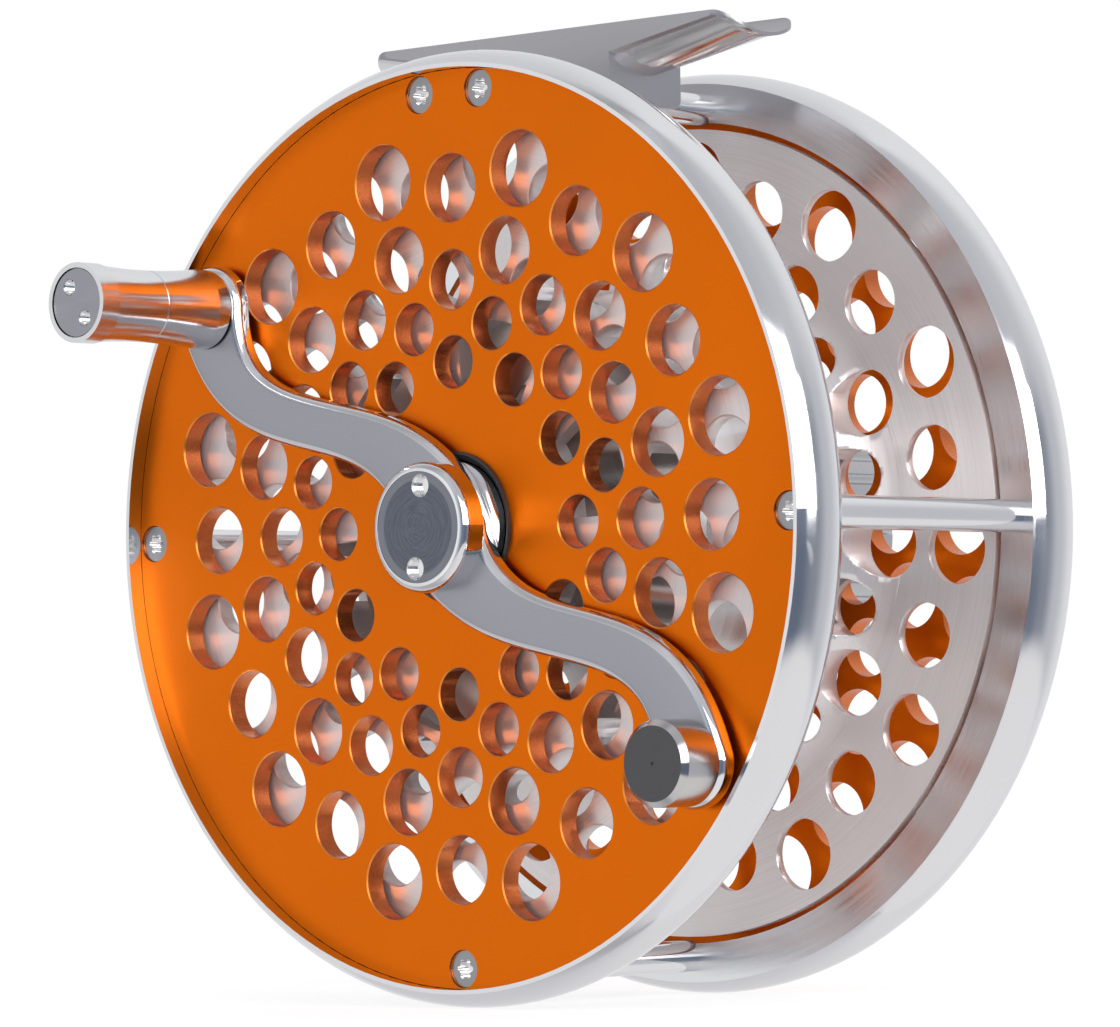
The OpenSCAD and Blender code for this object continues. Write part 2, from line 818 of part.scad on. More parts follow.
front_ring();
front_plate();
rear_ring();
rear_plate();
cage_pillars();
foot_pillars();
reel_foot();
foot_set_screws();
front_plate_screws();
rear_plate_screws();
front_seal();
front_bearing_outer();
front_bearing_balls();
front_bearing_inner();
rear_bearing_outer();
rear_bearing_balls();
rear_bearing_inner();
spindle();
spool_hub();
spool_front_flange();
spool_arbor();
spool_rear_flange();
crank_collar();
crank_arm();
crank_boss();
crank_nut();
counterweight();
handle_pin();
handle_screw();
handle_barrel();
handle_bushes();
handle_cap();
click_gear();
click_pawl();
click_post();
click_spring();
drag_housing();
drag_housing_screws();
drag_inner_washer();
brake_disc();
one_way_clutch();
drag_outer_washer();
pressure_plate();
drag_spring();
drag_knob();
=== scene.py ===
"""Looks of a caged fly reel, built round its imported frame.

The CAD nodes give every shape and place. This script gives each of them a
machined finish, rounds the polished edges, and sets up a plain studio.
Lengths are in metres. The spool axis is Y, and the crank is on the -Y side.
"""

import math

import bmesh
import bpy
from mathutils import Matrix, Vector


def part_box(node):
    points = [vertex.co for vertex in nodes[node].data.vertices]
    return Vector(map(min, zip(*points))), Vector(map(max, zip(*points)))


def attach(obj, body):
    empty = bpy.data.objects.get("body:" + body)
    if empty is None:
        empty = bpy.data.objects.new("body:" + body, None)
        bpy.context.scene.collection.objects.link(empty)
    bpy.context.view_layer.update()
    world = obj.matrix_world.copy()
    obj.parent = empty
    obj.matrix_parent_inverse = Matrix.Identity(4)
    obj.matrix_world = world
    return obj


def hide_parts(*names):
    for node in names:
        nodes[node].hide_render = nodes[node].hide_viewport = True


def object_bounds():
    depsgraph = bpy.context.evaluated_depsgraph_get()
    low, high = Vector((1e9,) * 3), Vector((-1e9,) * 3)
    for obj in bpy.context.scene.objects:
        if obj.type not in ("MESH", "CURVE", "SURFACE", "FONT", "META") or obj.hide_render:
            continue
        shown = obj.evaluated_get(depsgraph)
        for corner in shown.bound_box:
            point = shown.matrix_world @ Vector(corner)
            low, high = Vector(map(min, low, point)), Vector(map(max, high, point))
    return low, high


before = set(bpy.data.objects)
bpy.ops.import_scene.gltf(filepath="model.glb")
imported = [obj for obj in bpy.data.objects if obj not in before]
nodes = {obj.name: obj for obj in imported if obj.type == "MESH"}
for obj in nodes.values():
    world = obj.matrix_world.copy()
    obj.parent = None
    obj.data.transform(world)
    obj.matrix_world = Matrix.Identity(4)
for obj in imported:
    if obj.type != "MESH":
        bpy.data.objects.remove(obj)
cad_low, cad_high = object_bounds()
MM = 0.001


def middle(node):
    """Centre of a CAD node's box."""
    low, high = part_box(node)
    return (low + high) / 2


ring_low, ring_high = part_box("front_ring")
RING = ring_high.x - ring_low.x            # outer diameter of a ring
INNER_FACE = abs(ring_high.y)              # from the middle plane to a ring's inner flat face
PLATE_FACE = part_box("front_plate")[0].y    # Y of the front plate's outer face
AXIS = Vector((0, 0, 0))                   # a point on the spool axis


# ---- materials -------------------------------------------------------------

class Nodes:
    """A node tree, with short ways to make and join its nodes."""

    def __init__(self, tree):
        self.tree = tree

    def add(self, kind, **settings):
        """A new node with some of its settings."""
        node = self.tree.nodes.new(kind)
        for name, value in settings.items():
            setattr(node, name, value)
        return node

    def feed(self, value, socket):
        """Joins a node's output to a socket, or writes a plain value into it."""
        if isinstance(value, bpy.types.NodeSocket):
            self.tree.links.new(value, socket)
        else:
            socket.default_value = value

    def feed_all(self, values, node):
        """Feeds a node's first inputs in order."""
        for value, socket in zip(values, node.inputs):
            self.feed(value, socket)
        return node

    def math(self, operation, *values):
        """The result of one sum."""
        return self.feed_all(values, self.add("ShaderNodeMath", operation=operation)).outputs[0]

    def ramp(self, value, start, end, low=0.0, high=1.0):
        """A value that goes smoothly from low to high as the input goes from start to end."""
        node = self.add("ShaderNodeMapRange", interpolation_type="SMOOTHSTEP")
        return self.feed_all((value, start, end, low, high), node).outputs[0]

    def blend(self, factor, first, second):
        """A colour between two colours."""
        node = self.add("ShaderNodeMix", data_type="RGBA")
        self.feed(factor, node.inputs["Factor"])
        sockets = [socket for socket in node.inputs if socket.type == "RGBA"]
        for colour, socket in zip((first, second), sockets):
            is_plain = not isinstance(colour, bpy.types.NodeSocket)
            self.feed((*colour, 1) if is_plain else colour, socket)
        return next(socket for socket in node.outputs if socket.type == "RGBA")

    def between(self, factor, first, second):
        """A value between two values."""
        rest = self.math("SUBTRACT", 1.0, factor)
        return self.math("ADD", self.math("MULTIPLY", second, factor),
                         self.math("MULTIPLY", first, rest))

    def noise(self, where, scale, detail=2.0, rough=0.5):
        """A cloudy value round 0.5."""
        node = self.add("ShaderNodeTexNoise")
        for name, value in (("Vector", where), ("Scale", scale),
                            ("Detail", detail), ("Roughness", rough)):
            self.feed(value, node.inputs[name])
        return node.outputs["Fac"]

    def split(self, vector):
        """X, Y and Z of a vector."""
        return self.feed_all((vector,), self.add("ShaderNodeSeparateXYZ")).outputs

    def vector(self, x, y, z):
        """A vector made of three values."""
        return self.feed_all((x, y, z), self.add("ShaderNodeCombineXYZ")).outputs[0]

    def box_mask(self, value, centre, half, edge):
        """1 where a value is within half of the centre, with a soft edge; 0 elsewhere."""
        away = self.math("ABSOLUTE", self.math("SUBTRACT", value, centre))
        return self.ramp(away, half + edge, half)


class Look(Nodes):
    """One material."""

    def __init__(self, name, metal=1.0):
        self.material = bpy.data.materials.new(name)
        self.material.use_nodes = True
        super().__init__(self.material.node_tree)
        self.shader = self.tree.nodes["Principled BSDF"]
        self.set("Metallic", metal)
        coordinates = self.add("ShaderNodeTexCoord")
        self.place = coordinates.outputs["Object"]
        self.normal = coordinates.outputs["Normal"]

    def set(self, name, value):
        """Feeds one of the shader's inputs."""
        self.feed(value, self.shader.inputs[name])

    def get(self, name):
        """What feeds one of the shader's inputs so far."""
        return self.shader.inputs[name].links[0].from_socket

    def bump(self, height, depth):
        """Adds a height field, with its depth in metres, to the surface."""
        node = self.add("ShaderNodeBump")
        self.feed(height, node.inputs["Height"])
        self.feed(depth, node.inputs["Distance"])
        self.feed(1.0, node.inputs["Strength"])
        socket = self.shader.inputs["Normal"]
        if socket.is_linked:
            self.feed(self.get("Normal"), node.inputs["Normal"])
        self.feed(node.outputs["Normal"], socket)

    def polar(self, centre):
        """Sets radius, angle, depth, facing and tangent about an axis along Y."""
        x, y, z = self.split(self.place)
        across = self.math("SUBTRACT", x, centre.x)
        up = self.math("SUBTRACT", z, centre.z)
        self.radius = self.math("SQRT", self.math(
            "ADD", self.math("MULTIPLY", across, across), self.math("MULTIPLY", up, up)))
        self.angle = self.math("ARCTAN2", up, across)
        self.depth = y
        self.facing = self.math("ABSOLUTE", self.split(self.normal)[1])
        tangent = self.add("ShaderNodeVectorTransform", vector_type="VECTOR",
                           convert_from="OBJECT", convert_to="WORLD")
        around = self.vector(up, 0.0, self.math("MULTIPLY", across, -1.0))
        self.tangent = self.feed_all((around,), tangent).outputs[0]

    def lathe(self, centre, pitch, depth, shine):
        """Fine rings left by a lathe, with the stretched highlight that they give."""
        self.polar(centre)
        on_face = self.math("MULTIPLY", self.radius, self.facing)
        on_side = self.math("MULTIPLY", self.depth, self.math("SUBTRACT", 1.0, self.facing))
        row = self.math("DIVIDE", self.math("ADD", on_face, on_side), pitch)
        drift = self.math("MULTIPLY", self.angle, 1.3)
        self.grain = self.noise(self.vector(row, drift, 0.0), 1.0, 4.0, 0.65)
        self.comb(shine)
        self.bump(self.grain, depth)

    def comb(self, shine):
        """Stretches the highlights across the turned rings."""
        self.set("Anisotropic", shine)
        self.set("Anisotropic Rotation", 0.25)
        self.set("Tangent", self.tangent)

    def speckle(self, size, depth):
        """Fine even grain, as blasting or anodising leaves."""
        grain = self.noise(self.place, 1 / size, 3.0, 0.6)
        self.bump(grain, depth)
        return grain

    def smudges(self, size=14 * MM):
        """Large soft patches."""
        return self.noise(self.place, 1 / size, 3.0, 0.55)

    def scratches(self):
        """Thin marks from handling: 1 on a mark, 0 elsewhere."""
        warped = self.noise(self.place, 60.0, 2.0)
        x, y, z = self.split(self.place)
        where = self.vector(self.math("ADD", x, self.math("MULTIPLY", warped, 6 * MM)),
                            self.math("MULTIPLY", y, 0.25), self.math("MULTIPLY", z, 0.12))
        return self.ramp(self.noise(where, 900.0, 1.0), 0.70, 0.76)


def scaled(colour, factor):
    """A darker or lighter colour."""
    return tuple(part * factor for part in colour)


ALUMINIUM = (0.86, 0.865, 0.88)
SATIN = (0.40, 0.405, 0.44)
FOOT_SATIN = (0.46, 0.455, 0.48)
STEEL = (0.62, 0.615, 0.61)
KNOB_ALUMINIUM = (0.62, 0.62, 0.635)
BEARING_STEEL = (0.78, 0.78, 0.80)
ARBOR_ALUMINIUM = (0.76, 0.75, 0.74)
FLANGE_LOW, FLANGE_HIGH = (0.82, 0.79, 0.785), (0.92, 0.895, 0.89)
WEIGHT_STEEL, WEIGHT_END = (0.66, 0.65, 0.64), (0.13, 0.13, 0.135)
SCREW_RECESS, SCREW_HEAD = (0.90, 0.89, 0.88), (0.36, 0.365, 0.38)
CLEAN_METAL = (0.92, 0.92, 0.92)
GUNMETAL = (0.155, 0.17, 0.205)
SPRING_STEEL = (0.33, 0.36, 0.42)
BRONZE = (0.62, 0.36, 0.14)
ORANGE = (0.90, 0.180, 0.0015)
ORANGE_WALL = (0.74, 0.20, 0.060)
# A brighter orange painted onto chamfers and rounded rims as a painted highlight.
ORANGE_PAINTED_HIGHLIGHT = (0.95, 0.36, 0.08)
RUBBER_LOW, RUBBER_HIGH = (0.016, 0.016, 0.018), (0.035, 0.034, 0.036)
LINING_LOW, LINING_HIGH = (0.035, 0.035, 0.04), (0.10, 0.10, 0.11)
PAPER_LOW, PAPER_HIGH = (0.32, 0.32, 0.32), (0.30, 0.30, 0.30)
PAPER_GLOW = (0.80, 0.80, 0.80, 1)


def polished(name, node, rough, pitch=0.5 * MM):
    """Mirror-polished aluminium: faint lathe rings, smudges and hairline scratches."""
    look = Look(name)
    look.lathe(middle(node), pitch, depth=0.0004 * MM, shine=0.25)
    worn = look.math("ADD", look.ramp(look.smudges(), 0.35, 0.75, rough, rough + 0.09),
                     look.math("MULTIPLY", look.scratches(), 0.10))
    look.set("Roughness", worn)
    tone = look.smudges(30 * MM)
    look.set("Base Color", look.blend(tone, ALUMINIUM, scaled(ALUMINIUM, 0.93)))
    return look


def turned(name, node, rough, pitch=0.14 * MM, depth=0.0006 * MM, shine=0.8):
    """Metal turned in circles about a node's middle, with no colour yet."""
    look = Look(name)
    look.lathe(middle(node), pitch, depth, shine)
    look.set("Roughness", look.ramp(look.grain, 0.25, 0.75, rough - 0.04, rough + 0.05))
    return look


def brushed(name, node, colour, rough, **finish):
    """Turned metal of one colour."""
    look = turned(name, node, rough, **finish)
    tone = look.ramp(look.grain, 0.3, 0.7)
    look.set("Base Color", look.blend(tone, scaled(colour, 0.95), colour))
    return look


def ring_metal():
    """Rings: mirror polish outside, brushed on the bore and on the face towards the spool."""
    look = polished("ring_polish", "front_ring", rough=0.06)
    nx, _, nz = look.split(look.normal)
    x, _, z = look.split(look.place)
    outward_part = look.math("ADD", look.math("MULTIPLY", nx, x), look.math("MULTIPLY", nz, z))
    inward = look.math("MULTIPLY", -1.0, look.math("DIVIDE", outward_part, look.radius))
    inside = look.ramp(look.radius, RING / 2 - 3 * MM, RING / 2 - 4 * MM)
    bore = look.math("MULTIPLY", look.ramp(inward, 0.5, 0.8), inside)
    from_middle = look.math("ABSOLUTE", look.depth)
    inner_face = look.ramp(from_middle, INNER_FACE + 0.3 * MM, INNER_FACE + 0.1 * MM)
    band = look.math("MAXIMUM", bore, inner_face)
    brushing = look.ramp(look.grain, 0.3, 0.7, 0.15, 0.23)
    look.set("Roughness", look.between(band, look.get("Roughness"), brushing))
    look.set("Anisotropic", look.between(band, 0.25, 0.7))
    return look


def anodised():
    """Orange anodised aluminium: satin faces, redder drilled walls, and a painted highlight of
    brighter orange on the chamfers.
    """
    look = Look("orange_anodised")
    look.polar(AXIS)
    look.comb(0.75)
    face = look.ramp(look.facing, 0.85, 0.97)
    wall = look.ramp(look.facing, 0.45, 0.15)
    # edge marks the chamfers and rounded rims between faces and walls; they get a painted
    # highlight of brighter orange below.
    edge = look.math("MULTIPLY", look.math("SUBTRACT", 1.0, face),
                     look.math("SUBTRACT", 1.0, wall))
    patches = look.ramp(look.smudges(20 * MM), 0.3, 0.7)
    colour = look.blend(wall, look.blend(patches, ORANGE, scaled(ORANGE, 0.96)), ORANGE_WALL)
    look.set("Base Color", look.blend(look.math("MULTIPLY", edge, 0.8), colour, ORANGE_PAINTED_HIGHLIGHT))
    grain = look.speckle(0.10 * MM, 0.004 * MM)
    rough = look.ramp(grain, 0.3, 0.7, 0.34, 0.42)
    rows = look.vector(look.math("DIVIDE", look.depth, 0.3 * MM), 0.0, 0.0)
    bored = look.noise(rows, 1.0, 3.0)
    look.bump(look.math("MULTIPLY", bored, wall), 0.006 * MM)
    look.set("Roughness", look.math("SUBTRACT", rough, look.math("MULTIPLY", wall, 0.12)))
    look.set("Coat Weight", 0.04)
    look.set("Coat Roughness", 0.25)
    return look


def flange_metal():
    """Spool flanges: circles of fine brushing, worn in patches."""
    look = turned("spool_brushed", "spool_hub", rough=0.34, pitch=0.09 * MM, shine=0.93)
    look.set("Metallic", 0.72)
    look.set("Base Color", look.blend(look.ramp(look.grain, 0.35, 0.65), FLANGE_LOW, FLANGE_HIGH))
    row = look.math("MULTIPLY", look.radius, 260.0)
    patches = look.noise(look.vector(row, look.angle, 0.0), 1.0, 2.0)
    worn = look.ramp(patches, 0.35, 0.7, 0.0, 0.04)
    look.set("Roughness", look.math("ADD", look.get("Roughness"), worn))
    return look


def arm_metal():
    """Crank arm: a satin-grey flat face and mirror-polished rounded edges."""
    look = polished("crank_arm_metal", "front_ring", rough=0.05)
    flat = look.ramp(look.facing, 0.93, 0.985)
    look.set("Roughness", look.between(flat, look.get("Roughness"), 0.33))
    look.set("Base Color", look.blend(flat, ALUMINIUM, SATIN))
    look.set("Anisotropic", 0.0)
    return look


def foot_metal():
    """Reel foot: satin sides, and a polished underside."""
    look = Look("foot_metal")
    down = look.ramp(look.math("MULTIPLY", look.split(look.normal)[2], -1.0), 0.55, 0.85)
    grain = look.noise(look.place, 7000.0, 3.0, 0.7)
    sides = look.ramp(grain, 0.3, 0.7, 0.36, 0.44)
    underside = look.ramp(look.smudges(), 0.3, 0.7, 0.07, 0.15)
    look.set("Roughness", look.between(down, sides, underside))
    look.bump(look.math("MULTIPLY", grain, look.math("SUBTRACT", 1.0, down)), 0.004 * MM)
    look.set("Base Color", look.blend(down, FOOT_SATIN, ALUMINIUM))
    return look


def brighten_holes(look, node):
    """Makes everything that lies below a piece's front face bright and smooth."""
    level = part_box(node)[0].y
    below = look.ramp(look.depth, level + 0.05 * MM, level + 0.15 * MM)
    look.set("Base Color", look.blend(below, look.get("Base Color"), CLEAN_METAL))
    look.set("Roughness", look.between(below, look.get("Roughness"), 0.16))


def nut_metal():
    """Crank nut: dark turned face, a lighter rim and bright spanner holes."""
    look = turned("nut_metal", "crank_nut", rough=0.30, pitch=0.22 * MM, depth=0.005 * MM)
    face = look.blend(look.ramp(look.grain, 0.35, 0.65), scaled(GUNMETAL, 0.78),
                      scaled(GUNMETAL, 1.12))
    rim = look.ramp(look.radius, 5.3 * MM, 5.5 * MM)
    side = look.ramp(look.facing, 0.9, 0.6)
    colour = look.blend(look.math("MULTIPLY", rim, 0.4), face, SATIN)
    look.set("Base Color", look.blend(side, colour, ALUMINIUM))
    brighten_holes(look, "crank_nut")
    return look


def cap_metal():
    """Handle cap: satin face with bright spanner holes."""
    look = brushed("cap_satin", "handle_cap", SATIN, rough=0.30, pitch=0.3 * MM)
    brighten_holes(look, "handle_cap")
    return look


def weight_metal():
    """Counterweight: turned steel with a dark, matt end face."""
    look = brushed("weight_metal", "counterweight", WEIGHT_STEEL, rough=0.17, pitch=0.16 * MM)
    end = look.ramp(look.facing, 0.9, 0.97)
    look.set("Base Color", look.blend(end, look.get("Base Color"), WEIGHT_END))
    matt = look.math("MULTIPLY", end, 0.32)
    look.set("Roughness", look.math("ADD", look.get("Roughness"), matt))
    look.set("Anisotropic", look.between(end, 0.8, 0.2))
    return look


def screw_metal(name, level):
    """Screws whose heads lie at a distance from the middle: dark heads with bright recesses."""
    look = Look(name)
    look.polar(AXIS)
    recess = look.ramp(look.math("ABSOLUTE", look.depth), level - 0.08 * MM, level - 0.2 * MM)
    head = look.math("MULTIPLY", look.ramp(look.facing, 0.9, 0.97),
                     look.math("SUBTRACT", 1.0, recess))
    grain = look.speckle(0.12 * MM, 0.003 * MM)
    satin = look.math("MULTIPLY", head, look.ramp(grain, 0.3, 0.7, 0.18, 0.26))
    look.set("Roughness", look.math("ADD", 0.12, satin))
    look.set("Base Color", look.blend(head, SCREW_RECESS, SCREW_HEAD))
    return look


def rubber():
    """Black rubber of the seal."""
    look = Look("seal_rubber", metal=0.0)
    look.set("Base Color", look.blend(look.smudges(2 * MM), RUBBER_LOW, RUBBER_HIGH))
    look.set("Roughness", look.ramp(look.smudges(1 * MM), 0.3, 0.7, 0.30, 0.48))
    look.speckle(0.15 * MM, 0.01 * MM)
    return look


def lining():
    """Woven friction lining of the drag washers."""
    look = Look("friction_lining", metal=0.0)
    x, _, z = look.split(look.place)
    per_metre = 2 * math.pi / (0.8 * MM)
    threads = [look.math("SINE", look.math("MULTIPLY", axis, per_metre)) for axis in (x, z)]
    weave = look.math("MULTIPLY", *threads)
    look.set("Base Color", look.blend(look.ramp(weave, -0.3, 0.3), LINING_LOW, LINING_HIGH))
    look.set("Roughness", 0.7)
    look.bump(weave, 0.03 * MM)
    return look


FRONT_HEADS = abs(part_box("front_plate_screws")[0].y)
REAR_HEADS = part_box("rear_plate_screws")[1].y

FINISHES = {
    ring_metal(): ("front_ring", "rear_ring"),
    anodised(): ("front_plate", "rear_plate"),
    polished("pillar_polish", "front_ring", rough=0.10, pitch=0.35 * MM):
        ("cage_pillars", "foot_pillars"),
    foot_metal(): ("reel_foot",),
    screw_metal("front_screw_metal", FRONT_HEADS): ("front_plate_screws", "handle_screw"),
    screw_metal("rear_screw_metal", REAR_HEADS): ("rear_plate_screws", "drag_housing_screws"),
    brushed("grub_metal", "spool_hub", GUNMETAL, rough=0.3): ("foot_set_screws",),
    rubber(): ("front_seal",),
    brushed("bearing_steel", "spool_hub", BEARING_STEEL, rough=0.10, pitch=0.4 * MM):
        ("front_bearing_outer", "front_bearing_inner", "front_bearing_balls",
         "rear_bearing_outer", "rear_bearing_inner", "rear_bearing_balls"),
    flange_metal(): ("spool_front_flange", "spool_rear_flange"),
    brushed("arbor_turned", "spool_hub", ARBOR_ALUMINIUM, rough=0.2, pitch=0.3 * MM):
        ("spool_arbor", "spool_hub"),
    polished("boss_polish", "crank_boss", rough=0.04): ("crank_boss", "crank_collar"),
    nut_metal(): ("crank_nut",),
    weight_metal(): ("counterweight",),
    polished("handle_polish", "handle_barrel", rough=0.15, pitch=0.2 * MM): ("handle_barrel",),
    cap_metal(): ("handle_cap",),
    brushed("pin_steel", "handle_barrel", STEEL, rough=0.2): ("handle_pin",),
    brushed("turned_steel", "spool_hub", STEEL, rough=0.22, pitch=0.35 * MM):
        ("spindle", "click_gear", "click_pawl", "click_post",
         "brake_disc", "one_way_clutch", "pressure_plate"),
    brushed("bush_bronze", "handle_barrel", BRONZE, rough=0.3): ("handle_bushes",),
    lining(): ("drag_inner_washer", "drag_outer_washer"),
    brushed("spring_steel", "drag_spring", SPRING_STEEL, rough=0.28, pitch=0.5 * MM):
        ("click_spring", "drag_spring"),
    brushed("drag_satin", "spool_hub", KNOB_ALUMINIUM, rough=0.30, pitch=0.2 * MM, shine=0.4):
        ("drag_housing", "drag_knob"),
}


def dress(piece, look):
    """Gives a piece one material."""
    piece.data.materials.clear()
    piece.data.materials.append(look.material)


for finish, names in FINISHES.items():
    for name in names:
        dress(nodes[name], finish)


# ---- crank arm with rounded edges --------------------------------------------

ARM_FRONT_ROUND = 1.15 * MM
ARM_BACK_ROUND = 0.4 * MM


def ringed(items):
    """Each item of a closed list with the one after it."""
    return zip(items, items[1:] + items[:1])


def area(loop):
    """Signed area of a closed outline."""
    return sum(a.cross(b) for a, b in ringed(loop)) / 2


def face_loops(node, level, tolerance=0.01 * MM):
    """Outlines of a CAD node's flat face at one level of Y, as (x, z), largest first."""
    mesh = nodes[node].data
    points = [vertex.co for vertex in mesh.vertices]
    on_face = [polygon for polygon in mesh.polygons
               if all(abs(points[v].y - level) < tolerance for v in polygon.vertices)]
    key = {v: (round(points[v].x, 6), round(points[v].z, 6))
           for polygon in on_face for v in polygon.vertices}
    sides = {}
    for polygon in on_face:
        for start, end in ringed([key[v] for v in polygon.vertices]):
            if (end, start) in sides:
                del sides[(end, start)]
            else:
                sides[(start, end)] = True
    after = {start: end for start, end in sides}
    loops = []
    while after:
        start, point = after.popitem()
        loop = [start]
        while point != start:
            loop.append(point)
            point = after.pop(point)
        loops.append([Vector(p) for p in loop])
    return sorted(loops, key=lambda loop: -abs(area(loop)))


def smooth_loop(loop, parts=4):
    """More points on a closed outline, on a Catmull-Rom curve through the given ones."""
    count = len(loop)
    fine = []
    for i in range(count):
        a, b, c, d = (loop[(i + k) % count] for k in (-1, 0, 1, 2))
        for step in range(parts):
            t = step / parts
            fine.append(b + 0.5 * t * (c - a) + t * t * (a - 2.5 * b + 2 * c - 0.5 * d)
                        + t ** 3 * (1.5 * (b - c) + 0.5 * (d - a)))
    return fine


def outward(loop):
    """Unit normals of a closed outline, pointing out of it."""
    turn = 1 if area(loop) > 0 else -1
    normals = []
    for before, after in zip(loop[-1:] + loop[:-1], loop[1:] + loop[:1]):
        along = (after - before).normalized()
        normals.append(Vector((along.y, -along.x)) * turn)
    return normals


def rounded_plate(name, outline, holes, front, back, round_front, round_back, steps=6):
    """A flat piece whose outer edges are rounded, with holes straight through."""
    normals = outward(outline)
    bm = bmesh.new()

    def row(points, y):
        return [bm.verts.new((p.x, y, p.y)) for p in points]

    def skin(first, second):
        for (a, b), (c, d) in zip(ringed(first), ringed(second)):
            bm.faces.new((a, b, d, c))

    levels = []
    for step in range(steps + 1):
        bend = math.pi / 2 * step / steps
        levels.append((round_front * (1 - math.sin(bend)),
                       front + round_front * (1 - math.cos(bend))))
    for step in range(steps + 1):
        bend = math.pi / 2 * (1 - step / steps)
        levels.append((round_back * (1 - math.sin(bend)),
                       back - round_back * (1 - math.cos(bend))))
    rows = [row([p - n * inset for p, n in zip(outline, normals)], y) for inset, y in levels]
    for first, second in zip(rows, rows[1:]):
        skin(first, second)
    hole_rows = [(row(hole, front), row(hole, back)) for hole in holes]
    for first, second in hole_rows:
        skin(first, second)
    for end in (0, 1):    # the front face, then the back face
        rims = [rows[-end]] + [pair[end] for pair in hole_rows]
        edges = [bm.edges.get((rim[i - 1], rim[i])) for rim in rims for i in range(len(rim))]
        bmesh.ops.triangle_fill(bm, use_beauty=True, use_dissolve=False, edges=edges)
    bmesh.ops.recalc_face_normals(bm, faces=bm.faces)
    mesh = bpy.data.meshes.new(name)
    bm.to_mesh(mesh)
    bm.free()
    mesh.shade_smooth()
    piece = bpy.data.objects.new(name, mesh)
    bpy.context.scene.collection.objects.link(piece)
    mesh.set_sharp_from_angle(angle=math.radians(35))
    return piece


def build_arm():
    """The crank arm on its CAD outline, with a large round at the front and a small one behind."""
    low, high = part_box("crank_arm")
    loops = face_loops("crank_arm", low.y)
    arm = rounded_plate("crank_arm_rounded", smooth_loop(loops[0]), loops[1:],
                        low.y, high.y, ARM_FRONT_ROUND, ARM_BACK_ROUND)
    dress(arm, arm_metal())
    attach(arm, "spool")
    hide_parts("crank_arm")


build_arm()


# ---- eased edges ------------------------------------------------------------

def ease(node, width, segments, angle):
    """Takes the sharpness off a CAD node's edges with modifiers; its own mesh stays as it is."""
    piece = nodes[node]
    weld = piece.modifiers.new("weld", "WELD")
    weld.merge_threshold = 0.002 * MM
    flatten = piece.modifiers.new("flatten", "DECIMATE")
    flatten.decimate_type = "DISSOLVE"
    flatten.angle_limit = math.radians(0.3)
    bevel = piece.modifiers.new("ease", "BEVEL")
    bevel.width = width
    bevel.segments = segments
    bevel.limit_method = "ANGLE"
    bevel.angle_limit = math.radians(angle)
    bevel.harden_normals = True


ease("reel_foot", 0.3 * MM, segments=3, angle=50)
ease("spool_rear_flange", 0.12 * MM, segments=1, angle=65)
ease("spool_front_flange", 0.12 * MM, segments=1, angle=65)


# ---- studio -------------------------------------------------------------------

VIEW_AZIMUTH = 42.98
VIEW_ELEVATION = -2.24
VIEW_ROLL = -1.03
VIEW_DISTANCE = 6.213 * RING
VIEW_ASIDE = 0.1089 * RING
VIEW_RISE = 0.0151 * RING
LENS = 191.4
SENSOR_WIDTH = 36

# What polished metal sees round the horizon, high up and low down, by azimuth in degrees
HORIZON = ((-180, (0.80, 0.80, 0.82)), (-110, (0.80, 0.80, 0.81)), (-75, (0.46, 0.46, 0.48)),
           (-48, (0.80, 0.80, 0.81)), (-28, (1.00, 1.00, 1.00)), (-5, (0.50, 0.53, 0.60)),
           (15, (0.20, 0.24, 0.31)), (60, (0.13, 0.16, 0.22)), (95, (0.26, 0.28, 0.33)),
           (130, (0.55, 0.56, 0.60)), (180, (0.80, 0.80, 0.82)))
UPWARD = ((-180, (0.85, 0.85, 0.86)), (-100, (0.70, 0.70, 0.72)), (-45, (0.40, 0.40, 0.42)),
          (-5, (0.60, 0.60, 0.63)), (40, (0.52, 0.53, 0.56)), (110, (0.60, 0.60, 0.63)),
          (180, (0.85, 0.85, 0.86)))
TABLE = ((-180, (0.80, 0.79, 0.80)), (-97, (0.68, 0.67, 0.69)), (-45, (0.45, 0.45, 0.47)),
         (0, (0.75, 0.74, 0.76)), (40, (0.84, 0.83, 0.84)), (180, (0.84, 0.83, 0.84)))

# A broad window of light to the right, from just above the horizon to over a third of the way up.
# Its azimuth, half width and soft edge are in degrees; its height is the Z of a unit direction.
WINDOW = (2.6, 2.6, 2.65)
WINDOW_AZIMUTH, WINDOW_HALF_WIDTH, WINDOW_SIDE_EDGE = 57, 29, 4
WINDOW_Z, WINDOW_HALF_HEIGHT, WINDOW_TOP_EDGE = 0.34, 0.24, 0.04


def view_axes(azimuth, elevation, roll):
    """Right, up and backward directions of a camera."""
    a, e, r = (math.radians(value) for value in (azimuth, elevation, roll))
    back = Vector((math.sin(a) * math.cos(e), -math.cos(a) * math.cos(e), math.sin(e)))
    right = Vector((0, 0, 1)).cross(back).normalized()
    up = back.cross(right)
    return (math.cos(r) * right + math.sin(r) * up, math.cos(r) * up - math.sin(r) * right, back)


def make_camera():
    """The camera looks at a point in the front plate's face, from far away."""
    right, up, back = view_axes(VIEW_AZIMUTH, VIEW_ELEVATION, VIEW_ROLL)
    target = Vector((0, PLATE_FACE, 0))
    data = bpy.data.cameras.new("camera")
    data.lens = LENS
    data.sensor_width = SENSOR_WIDTH
    data.sensor_fit = "HORIZONTAL"
    data.clip_start = 0.01
    data.clip_end = 100
    camera = bpy.data.objects.new("camera", data)
    bpy.context.scene.collection.objects.link(camera)
    spin = Matrix((right, up, back)).transposed().to_4x4()
    spin.translation = target + right * VIEW_ASIDE + up * VIEW_RISE + back * VIEW_DISTANCE
    camera.matrix_world = spin
    bpy.context.scene.camera = camera


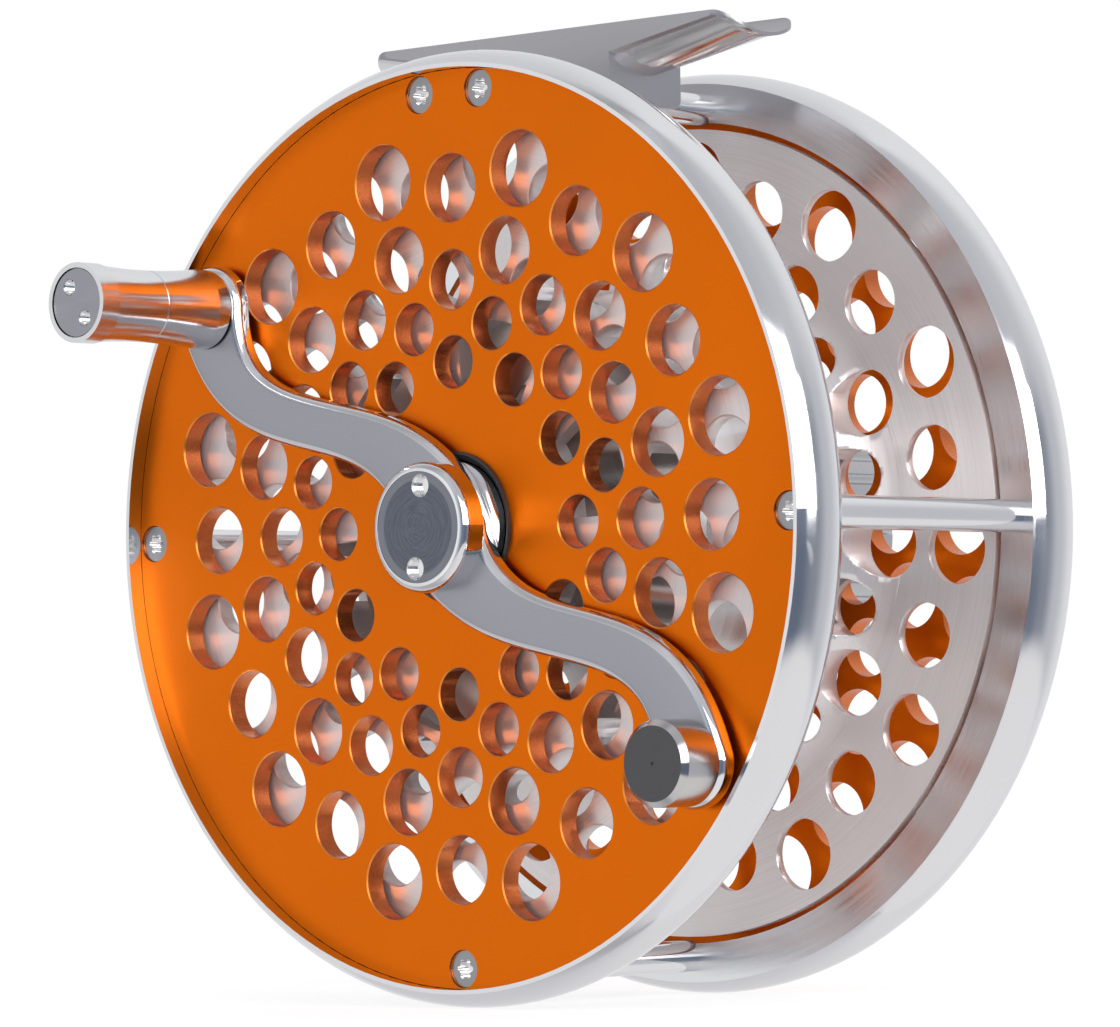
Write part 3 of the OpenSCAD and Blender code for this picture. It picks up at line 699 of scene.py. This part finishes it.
def soft_box(name, azimuth, elevation, distance, width, height, power):
    """A rectangular lamp that looks at the reel from a direction; lengths are in ring widths."""
    _, _, away = view_axes(azimuth, elevation, 0)
    data = bpy.data.lights.new(name, "AREA")
    data.shape = "RECTANGLE"
    data.size = width * RING
    data.size_y = height * RING
    data.energy = power
    lamp = bpy.data.objects.new(name, data)
    bpy.context.scene.collection.objects.link(lamp)
    lamp.location = away * distance * RING
    lamp.rotation_mode = "QUATERNION"
    lamp.rotation_quaternion = away.to_track_quat("Z", "Y")


def make_world():
    """A studio round the reel. The camera itself sees plain white."""
    world = bpy.data.worlds.new("studio")
    world.use_nodes = True
    bpy.context.scene.world = world
    room = Nodes(world.node_tree)
    x, y, z = room.split(room.add("ShaderNodeTexCoord").outputs["Generated"])
    turn = room.math("ARCTAN2", x, room.math("MULTIPLY", y, -1.0))
    around = room.math("ADD", room.math("DIVIDE", turn, 2 * math.pi), 0.5)

    def colours(stops):
        ramp = room.add("ShaderNodeValToRGB")
        ramp.color_ramp.interpolation = "EASE"
        room.feed(around, ramp.inputs["Fac"])
        points = ramp.color_ramp.elements
        while len(points) < len(stops):
            points.new(0.5)
        for point, (degrees, colour) in zip(points, stops):
            point.position = (degrees + 180) / 360
            point.color = (*colour, 1)
        return ramp.outputs["Color"]

    colour = room.blend(room.ramp(z, 0.30, 0.60), colours(HORIZON), colours(UPWARD))
    colour = room.blend(room.ramp(z, -0.36, -0.46), colour, colours(TABLE))
    window = room.math(
        "MULTIPLY",
        room.box_mask(around, 0.5 + WINDOW_AZIMUTH / 360, WINDOW_HALF_WIDTH / 360,
                      WINDOW_SIDE_EDGE / 360),
        room.box_mask(z, WINDOW_Z, WINDOW_HALF_HEIGHT, WINDOW_TOP_EDGE))
    colour = room.blend(window, colour, WINDOW)
    seen = room.add("ShaderNodeLightPath").outputs["Is Camera Ray"]
    background = room.tree.nodes["Background"]
    room.feed(room.blend(seen, colour, (1, 1, 1)), background.inputs["Color"])
    room.feed(1.0, background.inputs["Strength"])


def make_floor():
    """A pale floor that shows only a faint shadow. Polished metal sees TABLE instead."""
    half = 40 * RING
    mesh = bpy.data.meshes.new("floor")
    corners = [(-half, -half), (half, -half), (half, half), (-half, half)]
    mesh.from_pydata([(x, y, cad_low.z - 0.05 * MM) for x, y in corners], [], [(0, 1, 2, 3)])
    floor = bpy.data.objects.new("floor", mesh)
    bpy.context.scene.collection.objects.link(floor)
    look = Look("floor_paper", metal=0.0)
    look.set("Base Color", look.blend(look.smudges(300 * MM), PAPER_LOW, PAPER_HIGH))
    look.set("Roughness", 0.9)
    look.set("Specular IOR Level", 0.0)
    look.set("Emission Color", PAPER_GLOW)
    look.set("Emission Strength", 1.0)
    dress(floor, look)
    floor.visible_glossy = False


make_camera()
make_world()
make_floor()
soft_box("side", azimuth=82, elevation=14, distance=9, width=3.5, height=4.5, power=3)
bpy.context.scene.view_settings.view_transform = "Standard"
